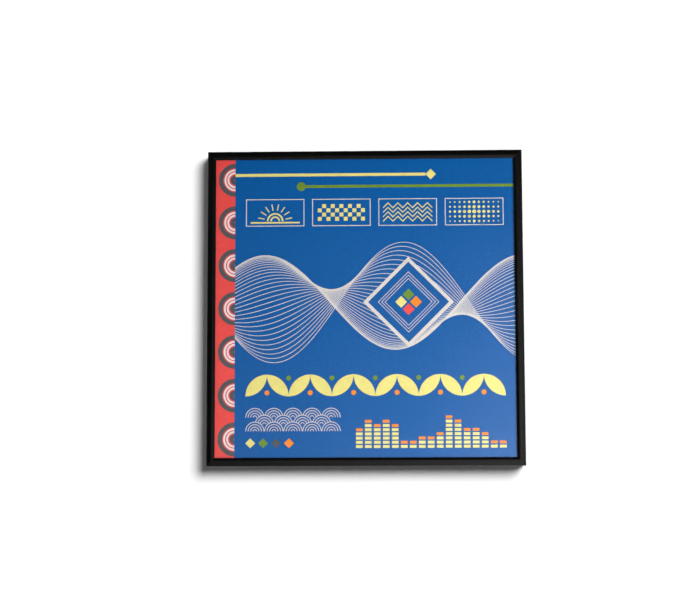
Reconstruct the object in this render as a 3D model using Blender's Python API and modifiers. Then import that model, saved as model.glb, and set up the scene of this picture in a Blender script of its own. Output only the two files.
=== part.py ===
"""A wall frame for a twelve inch record cover, built as it comes apart on a bench.

Four mitred aluminium rails hold a pack of glass, cover card and backing board in
their front channel, and bowed spring clips press that pack forward against the
rails' lips. In the rails' rear channel two steel angles and two set screws lock
each corner. Two ring hangers are riveted to the board.

The frame is opened by loosening the screws of the top corners: the top rail
lifts off with its angles, and the pack slides out upwards after it.

Metres, +Z up, front towards -Y and wall towards +Y. The origin is the centre of
the frame's outer box.
"""

import math

import bmesh
import bpy
from mathutils import Matrix

MM = 0.001

# Gaps between pieces that rest on each other, and an overrun for cutters
SEAT_GAP = 0.3 * MM
PLATE_GAP = 0.2 * MM
MITRE_GAP = 0.1 * MM
CUT_OVERRUN = 1.0 * MM
WELD_DISTANCE = 0.001 * MM

# The pack, cut to the size of a record cover
COVER_SIZE = 315.0 * MM
GLASS_THICK = 2.0 * MM
GLASS_CHAMFER = 0.3 * MM
CARD_THICK = 0.6 * MM
BOARD_THICK = 3.0 * MM
BOARD_CHAMFER = 0.4 * MM

# Aluminium rail, measured across its section, with its slopes in degrees
SIDE_PLAY = 1.2 * MM
WALL_THICK = 1.3 * MM
FACE_WIDTH = 8.5 * MM
FACE_EDGE_RADIUS = 1.2 * MM
CROWN_OUTER_SLOPE = 17.0
CROWN_INNER_SLOPE = 4.25
BEVEL_WIDTH = 2.1 * MM
BEVEL_DROP = 1.5 * MM
BEVEL_RADIUS = 0.4 * MM
LIP_EDGE_RADIUS = 0.2 * MM
LIP_THICK = 2.4 * MM
EDGE_RADIUS = 0.35 * MM
SPRING_ROOM = 4.8 * MM
WEB_THICK = 1.2 * MM
CHANNEL_ROOM = 3.7 * MM
CHANNEL_WIDTH = 7.5 * MM
INNER_WALL_THICK = 1.2 * MM
HOOK_REACH = 1.5 * MM
HOOK_THICK = 1.4 * MM
INSIDE_RADIUS = 0.4 * MM

# Corner angles and their set screws
ARM_LENGTH = 34.0 * MM
ARM_PLAY = 0.25 * MM
ANGLE_CORNER_RADIUS = 1.5 * MM
ANGLE_INSIDE_RADIUS = 1.0 * MM
ANGLE_END_RADIUS = 0.8 * MM
TAPPED_THICK = 2.0 * MM
PLAIN_THICK = 1.0 * MM
SCREW_FROM_CORNER = 24.0 * MM
SCREW_RADIUS = 2.0 * MM
SCREW_POINT_RADIUS = 1.1 * MM
SCREW_POINT_LENGTH = 0.8 * MM
SCREW_CHAMFER = 0.25 * MM
SCREW_SINK = 0.2 * MM
SCREW_SLOT_WIDTH = 0.7 * MM
SCREW_SLOT_DEPTH = 1.1 * MM
THREAD_PLAY = 0.1 * MM

# Bowed spring clips behind the board
SPRING_LENGTH = 58.0 * MM
SPRING_WIDTH = 12.0 * MM
SPRING_THICK = 0.5 * MM
SPRING_FROM_CORNER = 80.0 * MM
SPRING_EDGE_PLAY = 0.6 * MM
SPRING_CREST_SHARE = 0.85
SPRING_ROUND_SHARE = 0.12
SPRING_TIP_SHARE = 0.5

# Ring hangers on the board
HANGER_FROM_SIDE = 47.5 * MM
HANGER_BELOW_TOP = 38.0 * MM
RING_WIRE_RADIUS = 0.9 * MM
RING_BOW_RADIUS = 8.0 * MM
RING_SIDE_LENGTH = 10.0 * MM
RING_CORNER_RADIUS = 2.2 * MM
RING_PLAY = 0.25 * MM
STRAP_METAL = 0.7 * MM
STRAP_WIDTH = 9.0 * MM
STRAP_LENGTH = 10.8 * MM
STRAP_END_RADIUS = 4.0 * MM
RIVET_FROM_EYE = 6.6 * MM
RIVET_RADIUS = 1.5 * MM
RIVET_PLAY = 0.15 * MM
RIVET_HEAD_RADIUS = 3.2 * MM
RIVET_DOME = 0.9 * MM
RIVET_FOOT_THICK = 0.6 * MM
RIVET_FOOT_PLAY = 0.3 * MM

# Wall pads under the bottom corners
PAD_FROM_CORNER = 48.0 * MM
PAD_RADIUS = 4.6 * MM
PAD_THICK = 2.0 * MM
PAD_EDGE_RADIUS = 1.1 * MM

# Depths behind the front face, in the order of the pack and the rail
GLASS_FRONT = LIP_THICK + SEAT_GAP
GLASS_BACK = GLASS_FRONT + GLASS_THICK
CARD_FRONT = GLASS_BACK + SEAT_GAP
CARD_BACK = CARD_FRONT + CARD_THICK
BOARD_FRONT = CARD_BACK + SEAT_GAP
BOARD_BACK = BOARD_FRONT + BOARD_THICK
WEB_FRONT = BOARD_BACK + SPRING_ROOM
WEB_BACK = WEB_FRONT + WEB_THICK
HOOK_FRONT = WEB_BACK + CHANNEL_ROOM
RAIL_DEPTH = HOOK_FRONT + HOOK_THICK
PAD_FRONT = RAIL_DEPTH + SEAT_GAP
TOTAL_DEPTH = PAD_FRONT + PAD_THICK

# Distances in the plane of the frame
HALF_OUTER = COVER_SIZE / 2 + SIDE_PLAY + WALL_THICK
PACK_MIDDLE_Z = SEAT_GAP - SIDE_PLAY
CHANNEL_INSIDE = WALL_THICK + CHANNEL_WIDTH
RAIL_BACK_WIDTH = CHANNEL_INSIDE + INNER_WALL_THICK
ARM_WIDTH = CHANNEL_WIDTH - 2 * ARM_PLAY
ARM_EDGE = WALL_THICK + ARM_PLAY
EYE_BORE = RING_WIRE_RADIUS + RING_PLAY
EYE_RADIUS = EYE_BORE + STRAP_METAL
STRAP_THICK = 2 * STRAP_METAL
STRAP_FRONT = BOARD_BACK + SEAT_GAP
EYE_DEPTH = STRAP_FRONT + EYE_RADIUS
EYE_HEIGHT = PACK_MIDDLE_Z + COVER_SIZE / 2 - HANGER_BELOW_TOP
RIVET_HEIGHT = EYE_HEIGHT - RIVET_FROM_EYE
HANGER_X = COVER_SIZE / 2 - HANGER_FROM_SIDE
SPRING_X = HALF_OUTER - SPRING_FROM_CORNER

# Steps on round stretches
CROWN_STEPS = 10
FACE_EDGE_STEPS = 6
CORNER_STEPS = 4
HOLE_STEPS = 24
TURN_STEPS = 32
SPRING_STEPS = 24
EYE_STEPS = 18
BOW_STEPS = 16

CORNERS = ("bottom_left", "bottom_right", "top_right", "top_left")
SIDES = ("bottom", "right", "top", "left")
LIFTING = ("top", "top_left", "top_right")


def at_depth(depth):
    """World Y of a distance behind the frame's front face."""
    return depth - TOTAL_DEPTH / 2


def turned_to(quarter):
    """The turn about Y that carries the bottom side to another side of the square."""
    return Matrix.Rotation(-quarter * math.pi / 2, 4, "Y")


# Scene, collections and finishes


def clear_scene():
    for obj in list(bpy.data.objects):
        bpy.data.objects.remove(obj)


def new_collection(name):
    collection = bpy.data.collections.new(name)
    bpy.context.scene.collection.children.link(collection)
    return collection


def finish(name, colour, roughness, metallic=0.0, alpha=1.0):
    material = bpy.data.materials.new(name)
    material.use_nodes = True
    shader = material.node_tree.nodes["Principled BSDF"]
    shader.inputs["Base Color"].default_value = (*colour, 1.0)
    shader.inputs["Roughness"].default_value = roughness
    shader.inputs["Metallic"].default_value = metallic
    shader.inputs["Alpha"].default_value = alpha
    material.diffuse_color = (*colour, alpha)
    return material


def add_part(name, mesh, material, matrix=None, parent=None):
    """One named sub-part. Its mesh may be shared with the other copies of the piece."""
    obj = bpy.data.objects.new(name, mesh)
    parts.objects.link(obj)
    if not mesh.materials:
        mesh.materials.append(material)
    obj.parent = parent
    if matrix is not None:
        obj.matrix_world = matrix
    return obj


def add_empty(name, location, parent=None):
    empty = bpy.data.objects.new(name, None)
    parts.objects.link(empty)
    empty.parent = parent
    empty.empty_display_size = HALF_OUTER / 10
    empty.matrix_world = Matrix.Translation(location)
    return empty


# Outlines


def arc(centre, radius, start, end, steps):
    """Points of a round stretch between two angles in degrees, both ends included."""
    points = []
    for step in range(steps + 1):
        angle = math.radians(start + (end - start) * step / steps)
        points.append((centre[0] + radius * math.cos(angle), centre[1] + radius * math.sin(angle)))
    return points


def circle(centre, radius, steps=HOLE_STEPS):
    return arc(centre, radius, 0, 360, steps)[:-1]


def rounded(corners, steps=CORNER_STEPS):
    """A closed outline from (x, y, radius) corners, each turned with its own radius."""
    points = []
    for index, (x, y, radius) in enumerate(corners):
        if radius == 0:
            points.append((x, y))
            continue
        before, after = corners[index - 1], corners[(index + 1) % len(corners)]
        to_before = math.atan2(before[1] - y, before[0] - x)
        to_after = math.atan2(after[1] - y, after[0] - x)
        opening = (to_after - to_before + math.pi) % (2 * math.pi) - math.pi
        middle = to_before + opening / 2
        reach = radius / math.sin(abs(opening) / 2)
        centre = (x + reach * math.cos(middle), y + reach * math.sin(middle))
        sweep = math.copysign(math.pi - abs(opening), opening)
        start = middle + math.pi + sweep / 2
        points += arc(centre, radius, math.degrees(start), math.degrees(start - sweep), steps)
    return points


# Meshes


def evaluated_mesh(obj):
    """The object's mesh with its modifiers applied, welded and facing out. The object goes."""
    graph = bpy.context.evaluated_depsgraph_get()
    mesh = bpy.data.meshes.new_from_object(obj.evaluated_get(graph))
    mesh.name = obj.name
    shape = bmesh.new()
    shape.from_mesh(mesh)
    bmesh.ops.remove_doubles(shape, verts=shape.verts, dist=WELD_DISTANCE)
    bmesh.ops.recalc_face_normals(shape, faces=shape.faces)
    shape.to_mesh(mesh)
    shape.free()
    bpy.data.objects.remove(obj)
    mesh.shade_smooth()
    mesh.set_sharp_from_angle(angle=math.radians(30))
    return mesh


def working_object(name, data):
    obj = bpy.data.objects.new(name, data)
    cutters.objects.link(obj)
    obj.hide_render = True
    obj.display_type = "WIRE"
    return obj


def outline_curve(name, loops, thickness):
    """A flat plate in local XY, as a filled 2D curve: first its edge, then its holes."""
    curve = bpy.data.curves.new(name, "CURVE")
    curve.dimensions = "2D"
    curve.fill_mode = "BOTH"
    curve.extrude = thickness / 2
    for loop in loops:
        spline = curve.splines.new("POLY")
        spline.points.add(len(loop) - 1)
        for point, (x, y) in zip(spline.points, loop):
            point.co = (x, y, 0, 1)
        spline.use_cyclic_u = True
    return working_object(name, curve)


def plate_mesh(name, loops, thickness):
    """The same plate as a mesh that stands in XZ, with its thickness along Y."""
    mesh = evaluated_mesh(outline_curve(name, loops, thickness))
    mesh.transform(Matrix.Rotation(math.pi / 2, 4, "X"))
    return mesh


def turned_object(name, profile):
    """A turned shape about Y from (radius, depth) points, the wall end of the axis first."""
    mesh = bpy.data.meshes.new(name)
    points = [(radius, 0, depth) for radius, depth in profile]
    mesh.from_pydata(points, [(i, i + 1) for i in range(len(points) - 1)], [])
    obj = working_object(name, mesh)
    screw = obj.modifiers.new("turn", "SCREW")
    screw.axis = "Z"
    screw.steps = screw.render_steps = TURN_STEPS
    screw.use_merge_vertices = True
    screw.merge_threshold = WELD_DISTANCE
    return obj


def along_y(mesh):
    """Lays a mesh turned about Z along Y, so that its height becomes its depth."""
    mesh.transform(Matrix.Rotation(-math.pi / 2, 4, "X"))
    return mesh


def boolean(obj, other, operation):
    modifier = obj.modifiers.new(other.name, "BOOLEAN")
    modifier.operation = operation
    modifier.object = other


def sheet_mesh(name, size, thickness, chamfer=0.0):
    """A square sheet that stands in XZ, with its edges broken."""
    bpy.ops.mesh.primitive_cube_add(size=1)
    obj = bpy.context.active_object
    obj.name = name
    obj.data.transform(Matrix.Diagonal((size, thickness, size, 1)))
    if chamfer:
        bevel = obj.modifiers.new("broken_edge", "BEVEL")
        bevel.width = chamfer
        bevel.segments = 1
    return evaluated_mesh(obj)


# Rails


def rail_face():
    """The face that shows: a round outer edge, a crown highest near its inside, and a bevel."""
    outer, inner = math.radians(CROWN_OUTER_SLOPE), math.radians(CROWN_INNER_SLOPE)
    crown_start = FACE_EDGE_RADIUS * (1 - math.sin(outer))
    crown_end = FACE_WIDTH - BEVEL_WIDTH
    crown_radius = (crown_end - crown_start) / (math.sin(outer) + math.sin(inner))
    outer_drop = crown_radius * (1 - math.cos(outer))
    inner_drop = crown_radius * (1 - math.cos(inner))
    edge_centre = (FACE_EDGE_RADIUS, outer_drop + FACE_EDGE_RADIUS * math.cos(outer))
    crown_centre = (crown_start + crown_radius * math.sin(outer), crown_radius)
    low, high = 270 - CROWN_OUTER_SLOPE, 270 + CROWN_INNER_SLOPE
    edge = arc(edge_centre, FACE_EDGE_RADIUS, 180, low, FACE_EDGE_STEPS)
    crown = arc(crown_centre, crown_radius, low, high, CROWN_STEPS)
    smooth = [(x, y, 0) for x, y in edge[:-1] + crown[:-1]]
    bevel = [(crown_end, inner_drop, BEVEL_RADIUS)]
    return [*smooth, *bevel, (FACE_WIDTH, inner_drop + BEVEL_DROP, LIP_EDGE_RADIUS)]


def rail_section():
    """The extrusion's section: distance in from the outside, and depth from the front."""
    inner_hook = CHANNEL_INSIDE - HOOK_REACH
    outer_hook = WALL_THICK + HOOK_REACH
    pocket = [
        (FACE_WIDTH, LIP_THICK, 0),
        (WALL_THICK, LIP_THICK, INSIDE_RADIUS),
        (WALL_THICK, WEB_FRONT, INSIDE_RADIUS),
        (RAIL_BACK_WIDTH, WEB_FRONT, EDGE_RADIUS),
        (RAIL_BACK_WIDTH, RAIL_DEPTH, EDGE_RADIUS),
    ]
    rear_channel = [
        (inner_hook, RAIL_DEPTH, 0),
        (inner_hook, HOOK_FRONT, 0),
        (CHANNEL_INSIDE, HOOK_FRONT, 0),
        (CHANNEL_INSIDE, WEB_BACK, 0),
        (WALL_THICK, WEB_BACK, 0),
        (WALL_THICK, HOOK_FRONT, 0),
        (outer_hook, HOOK_FRONT, 0),
        (outer_hook, RAIL_DEPTH, 0),
        (0, RAIL_DEPTH, EDGE_RADIUS),
    ]
    return rounded([*rail_face(), *pocket, *rear_channel])


def rail_mesh():
    """The bottom rail: the section drawn along X, each end cut back at 45 degrees."""
    mesh = evaluated_mesh(outline_curve("rail", [rail_section()], 2 * HALF_OUTER))
    longest = HALF_OUTER - MITRE_GAP / math.sqrt(2)
    for vertex in mesh.vertices:
        inset, depth, end = vertex.co
        vertex.co = (math.copysign(longest - inset, end), at_depth(depth), inset - HALF_OUTER)
    mesh.flip_normals()
    return mesh


def make_rails():
    mesh = rail_mesh()
    for quarter, side in enumerate(SIDES):
        add_part(f"rail_{side}", mesh, anodised, turned_to(quarter), lift_of(side))


# Corner angles and set screws


def angle_outline():
    """One L in the bottom left corner, with its arms along both rails' channels."""
    outside = ARM_EDGE - HALF_OUTER
    inside = outside + ARM_WIDTH
    end = outside + ARM_LENGTH
    return rounded(
        [
            (outside, outside, ANGLE_CORNER_RADIUS),
            (end, outside, ANGLE_END_RADIUS),
            (end, inside, ANGLE_END_RADIUS),
            (inside, inside, ANGLE_INSIDE_RADIUS),
            (inside, end, ANGLE_END_RADIUS),
            (outside, end, ANGLE_END_RADIUS),
        ]
    )


def screw_places():
    """Where the bottom left corner's screws stand: in the bottom rail, and in the side."""
    along = ARM_EDGE + SCREW_FROM_CORNER - HALF_OUTER
    across = ARM_EDGE + ARM_WIDTH / 2 - HALF_OUTER
    return [(along, across), (across, along)]


def screw_mesh():
    """A slotted set screw with a flat point, from the plain angle to just inside the rail."""
    tip = WEB_BACK + PLATE_GAP + PLAIN_THICK + PLATE_GAP
    head = RAIL_DEPTH - SCREW_SINK
    obj = turned_object(
        "set_screw",
        [
            (0, head),
            (SCREW_RADIUS - SCREW_CHAMFER, head),
            (SCREW_RADIUS, head - SCREW_CHAMFER),
            (SCREW_RADIUS, tip + SCREW_POINT_LENGTH),
            (SCREW_POINT_RADIUS, tip),
            (0, tip),
        ],
    )
    bpy.ops.mesh.primitive_cube_add(size=1)
    slot = bpy.context.active_object
    slot.name = "screw_slot"
    slot_length = 2 * (SCREW_RADIUS + CUT_OVERRUN)
    slot_height = SCREW_SLOT_DEPTH + CUT_OVERRUN
    slot.data.transform(Matrix.Diagonal((slot_length, SCREW_SLOT_WIDTH, slot_height, 1)))
    slot.location.z = head - SCREW_SLOT_DEPTH + slot_height / 2
    boolean(obj, slot, "DIFFERENCE")
    mesh = along_y(evaluated_mesh(obj))
    bpy.data.objects.remove(slot)
    return mesh


def make_corners():
    holes = [circle(place, SCREW_RADIUS + THREAD_PLAY) for place in screw_places()]
    plain = plate_mesh("corner_angle_plain", [angle_outline()], PLAIN_THICK)
    tapped = plate_mesh("corner_angle_tapped", [angle_outline(), *holes], TAPPED_THICK)
    screw = screw_mesh()
    plain_y = at_depth(WEB_BACK + PLATE_GAP + PLAIN_THICK / 2)
    tapped_y = at_depth(HOOK_FRONT - PLATE_GAP - TAPPED_THICK / 2)
    for quarter, corner in enumerate(CORNERS):
        turn, lift = turned_to(quarter), lift_of(corner)
        for kind, mesh, y in (("plain", plain, plain_y), ("tapped", tapped, tapped_y)):
            name = f"corner_angle_{kind}_{corner}"
            add_part(name, mesh, zinc, turn @ Matrix.Translation((0, y, 0)), lift)
        rails = (SIDES[quarter], SIDES[quarter - 1])
        for rail, (x, z) in zip(rails, screw_places()):
            place = turn @ Matrix.Translation((x, at_depth(0), z))
            add_part(f"set_screw_{corner}_in_{rail}_rail", screw, steel, place, lift)


# The pack behind the lips


def make_pack():
    glass_mesh = sheet_mesh("glass_sheet", COVER_SIZE, GLASS_THICK, GLASS_CHAMFER)
    card_mesh = sheet_mesh("cover_card", COVER_SIZE, CARD_THICK)
    for name, mesh, material, front, thick in (
        ("glass_sheet", glass_mesh, glass, GLASS_FRONT, GLASS_THICK),
        ("cover_card", card_mesh, printed_card, CARD_FRONT, CARD_THICK),
        ("backing_board", board_mesh(), hardboard, BOARD_FRONT, BOARD_THICK),
    ):
        middle = (0, at_depth(front + thick / 2), PACK_MIDDLE_Z)
        add_part(name, mesh, material, Matrix.Translation(middle), pack_lift)


def board_mesh():
    """The board, with a stepped hole for each hanger's rivet."""
    mesh = sheet_mesh("backing_board", COVER_SIZE, BOARD_THICK, BOARD_CHAMFER)
    obj = working_object("backing_board", mesh)
    step_depth = RIVET_FOOT_THICK + SEAT_GAP
    drills = []
    for side in (-1, 1):
        for radius, front, back in (
            (RIVET_RADIUS + RIVET_PLAY, CUT_OVERRUN, BOARD_THICK + CUT_OVERRUN),
            (RIVET_HEAD_RADIUS + RIVET_FOOT_PLAY, CUT_OVERRUN, step_depth),
        ):
            bpy.ops.mesh.primitive_cylinder_add(
                vertices=TURN_STEPS,
                radius=radius,
                depth=front + back,
                location=(
                    side * HANGER_X,
                    (back - front) / 2 - BOARD_THICK / 2,
                    RIVET_HEIGHT - PACK_MIDDLE_Z,
                ),
                rotation=(math.pi / 2, 0, 0),
            )
            drills.append(bpy.context.active_object)
            boolean(obj, drills[-1], "DIFFERENCE")
    cut = evaluated_mesh(obj)
    for drill in drills:
        bpy.data.objects.remove(drill)
    return cut


# Spring clips


def spring_bow(share):
    """Height of the bow at a share of the half length: low in the middle, high near the ends."""
    rise = SPRING_ROOM - 2 * SEAT_GAP - SPRING_THICK
    return rise * math.sin(math.pi / 2 * share / SPRING_CREST_SHARE) ** 2


def spring_half_width(share):
    """Half width at a share of the half length, rounded off towards the tips."""
    past = max(0, (abs(share) - 1 + SPRING_ROUND_SHARE) / SPRING_ROUND_SHARE)
    tip = 1 - SPRING_TIP_SHARE**2
    return SPRING_WIDTH / 2 * math.sqrt(1 - tip * past**2)


def spring_mesh():
    """A bowed strip: a grid along X, bent to its bow and given the metal's thickness."""
    mesh = bpy.data.meshes.new("spring_clip")
    shape = bmesh.new()
    bmesh.ops.create_grid(shape, x_segments=SPRING_STEPS, y_segments=2, size=1)
    for vertex in shape.verts:
        share, side = vertex.co.x, vertex.co.y
        vertex.co = (
            share * SPRING_LENGTH / 2,
            spring_bow(share),
            side * spring_half_width(share),
        )
    shape.to_mesh(mesh)
    shape.free()
    obj = working_object("spring_clip", mesh)
    solidify = obj.modifiers.new("metal", "SOLIDIFY")
    solidify.thickness = SPRING_THICK
    solidify.offset = 0
    return evaluated_mesh(obj)


def make_springs():
    mesh = spring_mesh()
    y = at_depth(BOARD_BACK + SEAT_GAP + SPRING_THICK / 2)
    z = WALL_THICK + SPRING_EDGE_PLAY + SPRING_WIDTH / 2 - HALF_OUTER
    ends = {
        "bottom": ("left", "right"),
        "right": ("lower", "upper"),
        "top": ("right", "left"),
        "left": ("upper", "lower"),
    }
    for quarter, side in enumerate(SIDES):
        for direction, end in zip((-1, 1), ends[side]):
            place = Matrix.Translation((direction * SPRING_X, y, z))
            name = f"spring_clip_{side}_{end}"
            add_part(name, mesh, spring_steel, turned_to(quarter) @ place, lift_of(side))


# Ring hangers


def strap_mesh():
    """A strap folded round the ring: its side outline cut to its plan, with a rivet hole."""
    join = math.degrees(math.asin((STRAP_THICK - EYE_RADIUS) / EYE_RADIUS))
    tab_end = (STRAP_THICK, -STRAP_LENGTH)
    eye = arc((EYE_RADIUS, 0), EYE_RADIUS, 180, join - 90, EYE_STEPS)
    side = [(0, -STRAP_LENGTH), *eye, tab_end]
    obj = outline_curve("hanger_strap", [side, circle((EYE_RADIUS, 0), EYE_BORE)], STRAP_WIDTH)
    block = evaluated_mesh(obj)
    block.transform(Matrix.Rotation(math.pi / 2, 4, "Z") @ Matrix.Rotation(math.pi / 2, 4, "X"))
    half = STRAP_WIDTH / 2
    top = EYE_RADIUS + CUT_OVERRUN
    plan = rounded(
        [
            (-half, -STRAP_LENGTH, STRAP_END_RADIUS),
            (half, -STRAP_LENGTH, STRAP_END_RADIUS),
            (half, top, 0),
            (-half, top, 0),
        ],
        2 * CORNER_STEPS,
    )
    hole = circle((0, -RIVET_FROM_EYE), RIVET_RADIUS + RIVET_PLAY)
    reach = 2 * (2 * EYE_RADIUS + CUT_OVERRUN)
    blank = working_object("strap_plan", plate_mesh("strap_plan", [plan, hole], reach))
    strap = working_object("hanger_strap", block)
    boolean(strap, blank, "INTERSECT")
    mesh = evaluated_mesh(strap)
    bpy.data.objects.remove(blank)
    return mesh


def rivet_mesh():
    """A rivet with a domed head on the strap and a flat foot sunk in the board's front."""
    head = STRAP_FRONT + STRAP_THICK + SEAT_GAP
    foot = BOARD_FRONT
    dome_radius = (RIVET_HEAD_RADIUS**2 + RIVET_DOME**2) / (2 * RIVET_DOME)
    sweep = math.degrees(math.asin(RIVET_HEAD_RADIUS / dome_radius))
    centre = (0, head + RIVET_DOME - dome_radius)
    dome = arc(centre, dome_radius, 90, 90 - sweep, 2 * CORNER_STEPS)
    shank = [
        (RIVET_RADIUS, head),
        (RIVET_RADIUS, foot + RIVET_FOOT_THICK),
        (RIVET_HEAD_RADIUS, foot + RIVET_FOOT_THICK),
        (RIVET_HEAD_RADIUS, foot),
        (0, foot),
    ]
    return along_y(evaluated_mesh(turned_object("hanger_rivet", [*dome, *shank])))


def ring_curve():
    """A D-shaped wire ring that hangs from its bar, which lies on the hinge axis."""
    curve = bpy.data.curves.new("hang_ring", "CURVE")
    curve.dimensions = "3D"
    curve.bevel_depth = RING_WIRE_RADIUS
    curve.bevel_resolution = 2
    bow = arc((0, -RING_SIDE_LENGTH), RING_BOW_RADIUS, 0, -180, BOW_STEPS)
    bar = [(-RING_BOW_RADIUS, 0, RING_CORNER_RADIUS), (RING_BOW_RADIUS, 0, RING_CORNER_RADIUS)]
    path = rounded([*bar, *((x, z, 0) for x, z in bow)])
    spline = curve.splines.new("POLY")
    spline.points.add(len(path) - 1)
    for point, (x, z) in zip(spline.points, path):
        point.co = (x, 0, z, 1)
    spline.use_cyclic_u = True
    return curve


def make_hangers():
    strap, rivet, ring = strap_mesh(), rivet_mesh(), ring_curve()
    for direction, side in ((-1, "left"), (1, "right")):
        x = direction * HANGER_X
        strap_place = Matrix.Translation((x, at_depth(STRAP_FRONT), EYE_HEIGHT))
        add_part(f"hanger_strap_{side}", strap, zinc, strap_place, pack_lift)
        rivet_place = Matrix.Translation((x, at_depth(0), RIVET_HEIGHT))
        add_part(f"hanger_rivet_{side}", rivet, steel, rivet_place, pack_lift)
        axis = (x, at_depth(EYE_DEPTH), EYE_HEIGHT)
        hinge = add_empty(f"ring_axis_{side}", axis, pack_lift)
        add_part(f"hang_ring_{side}", ring, steel, Matrix.Translation(axis), hinge)


# Wall pads


def make_pads():
    shoulder = arc(
        (PAD_RADIUS - PAD_EDGE_RADIUS, PAD_FRONT + PAD_THICK - PAD_EDGE_RADIUS),
        PAD_EDGE_RADIUS,
        90,
        0,
        CORNER_STEPS,
    )
    back = PAD_FRONT + PAD_THICK
    profile = [(0, back), *shoulder, (PAD_RADIUS, PAD_FRONT), (0, PAD_FRONT)]
    mesh = along_y(evaluated_mesh(turned_object("wall_pad", profile)))
    z = RAIL_BACK_WIDTH / 2 - HALF_OUTER
    for direction, side in ((-1, "left"), (1, "right")):
        x = direction * (HALF_OUTER - PAD_FROM_CORNER)
        add_part(f"wall_pad_{side}", mesh, rubber, Matrix.Translation((x, at_depth(0), z)))


def lift_of(name):
    """The empty that carries a piece of the lift-off top rail, or none for the rest."""
    return top_rail_lift if name in LIFTING else None


clear_scene()
parts = new_collection("record_cover_frame")
cutters = new_collection("cutters")

anodised = finish("black_anodised_aluminium", (0.012, 0.012, 0.013), 0.32, 0.6)
glass = finish("clear_glass", (0.9, 0.95, 0.94), 0.02, 0.0, 0.15)
printed_card = finish("printed_card", (0.02, 0.12, 0.38), 0.55)
hardboard = finish("brown_hardboard", (0.2, 0.11, 0.055), 0.8)
zinc = finish("zinc_plate", (0.55, 0.56, 0.56), 0.38, 0.9)
steel = finish("bright_steel", (0.6, 0.6, 0.6), 0.28, 1.0)
spring_steel = finish("blued_spring_steel", (0.2, 0.22, 0.26), 0.35, 0.95)
rubber = finish("grey_rubber", (0.1, 0.1, 0.1), 0.7)

top_rail_lift = add_empty("top_rail_lift", (0, 0, HALF_OUTER))
pack_lift = add_empty("pack_lift", (0, at_depth(CARD_FRONT), PACK_MIDDLE_Z))

make_rails()
make_corners()
make_pack()
make_springs()
make_hangers()
make_pads()
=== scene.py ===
"""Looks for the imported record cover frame: camera, studio, materials and a printed card.

Metres, +Z up, the frame's front towards -Y and the wall towards +Y. Sizes of print are in millimetres
from the card's centre and are turned into metres by MM.
"""

import math

import bmesh
import bpy
from mathutils import Matrix, Vector


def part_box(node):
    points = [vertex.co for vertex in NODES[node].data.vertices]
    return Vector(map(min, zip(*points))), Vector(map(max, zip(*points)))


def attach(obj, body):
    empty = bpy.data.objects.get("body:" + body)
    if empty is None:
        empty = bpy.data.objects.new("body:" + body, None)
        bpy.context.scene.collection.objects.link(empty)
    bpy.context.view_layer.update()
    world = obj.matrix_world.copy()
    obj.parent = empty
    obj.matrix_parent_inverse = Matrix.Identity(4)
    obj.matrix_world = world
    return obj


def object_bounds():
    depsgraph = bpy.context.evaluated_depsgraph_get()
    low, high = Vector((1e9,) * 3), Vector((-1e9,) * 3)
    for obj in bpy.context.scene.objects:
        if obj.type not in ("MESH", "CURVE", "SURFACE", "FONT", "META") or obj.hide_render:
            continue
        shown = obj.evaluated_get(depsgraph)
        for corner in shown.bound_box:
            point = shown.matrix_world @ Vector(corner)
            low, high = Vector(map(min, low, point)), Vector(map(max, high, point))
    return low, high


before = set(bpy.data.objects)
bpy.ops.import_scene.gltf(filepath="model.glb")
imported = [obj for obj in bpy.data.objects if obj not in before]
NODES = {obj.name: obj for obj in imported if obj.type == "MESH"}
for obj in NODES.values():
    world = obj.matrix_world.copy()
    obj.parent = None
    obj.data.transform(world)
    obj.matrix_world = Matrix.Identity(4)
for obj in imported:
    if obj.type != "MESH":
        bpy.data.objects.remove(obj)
CAD_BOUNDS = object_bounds()

MM = 0.001
UP = Vector((0, 0, 1))

# camera, as the photograph was taken: place in metres, angles in degrees
CAMERA_PLACE = Vector((0.0251, -1.59458, -0.1592))
CAMERA_AZIMUTH = 1.456
CAMERA_ELEVATION = -5.985
CAMERA_ROLL = -0.175
CAMERA_LENS = 81.12
SENSOR_WIDTH = 36.0

# wall and floor
WALL_GAP = 0.15 * MM
WALL_HALF_WIDTH = 4.0
WALL_TOP = 3.0
WALL_WHITE = 0.88
FLOOR_DROP = 1.2
FLOOR_REACH = 12.0
FLOOR_GREY = 0.25
FLOOR_GLOW = 0.78

# lamps: name, place, size across, and how bright it makes a white card at the frame's middle, square to Y
WALL_LAMP = ("wall_key", Vector((4.2, -7.5, 3.45)), 5.2, 1.24)
FILL_LAMP = ("fill", Vector((-2.2, -3.2, -0.7)), 2.5, 0.09)
FRAME_LAMPS = (
    ("key", Vector((0.5, -4.0, 0.7)), 1.6, 0.62),
    ("side", Vector((0.38, -0.72, -0.27)), 0.3, 1.45),
    ("rear", Vector((-1.4, 2.6, 1.5)), 1.6, 1.0),
    ("low_rear", Vector((1.8, 2.2, -0.6)), 1.4, 0.4),
)

# the room that surfaces mirror: stops of (how far the direction points that way, level)
ROOM_SIDEWAYS = ((-0.22, 0.0), (-0.08, 0.26), (0.0, 0.46), (0.08, 0.95), (0.45, 0.8), (0.9, 0.3))
ROOM_UPRIGHT = (
    (-0.8, 0.65),
    (-0.3, 0.9),
    (0.0, 1.0),
    (0.045, 0.66),
    (0.106, 0.34),
    (0.19, 0.05),
    (0.26, 0.0),
)
ROOM_REAR = (
    (-1.0, 0.6),
    (-0.5, 1.0),
    (-0.25, 0.7),
    (-0.04, 0.45),
    (0.25, 1.0),
    (0.6, 0.8),
    (1.0, 0.5),
)
ROOM_ASIDE = (0.2, 0.5, 0, 1)
ROOM_ASLANT = (0.18, 0.45, 0, 0.4)
ROOM_TURN = (-0.22, 0.3, 0, 1)

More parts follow.
